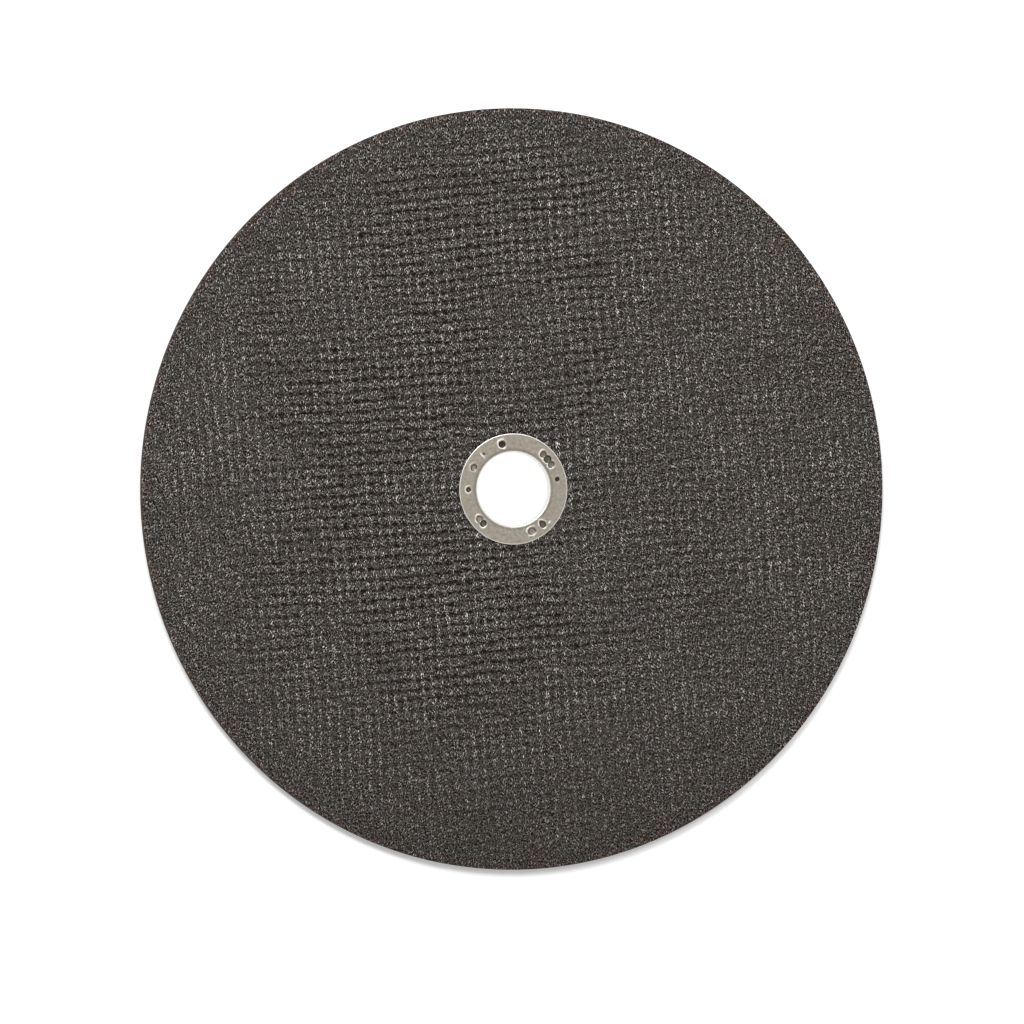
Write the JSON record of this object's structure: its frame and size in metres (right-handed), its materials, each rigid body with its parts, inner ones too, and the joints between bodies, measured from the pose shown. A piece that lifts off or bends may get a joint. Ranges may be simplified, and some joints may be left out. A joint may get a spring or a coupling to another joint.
{
  "type": "cut-off wheel",
  "caption": "Thin flat abrasive disc with mesh-imprinted faces and a pressed metal ring lining its bore, for cutting metal on an angle grinder.",
  "frame": {"origin": "on the bore axis, in the plane of the back face that the wheel lies on", "axes": "+Z along the bore axis, out of the front face with the ring's flange; +X and +Y in the plane of the wheel"},
  "size_m": [0.23, 0.23, 0.0026],
  "materials": {
    "abrasive": "rough dark grey abrasive grain in resin, with the imprint of a glass-fibre mesh",
    "ring_metal": "dull tinned sheet, lightly scuffed, with punch marks"
  },
  "bodies": {
    "root": {"abrasive_disc": "abrasive", "centre_ring": "ring_metal"}
  },
  "joints": []
}
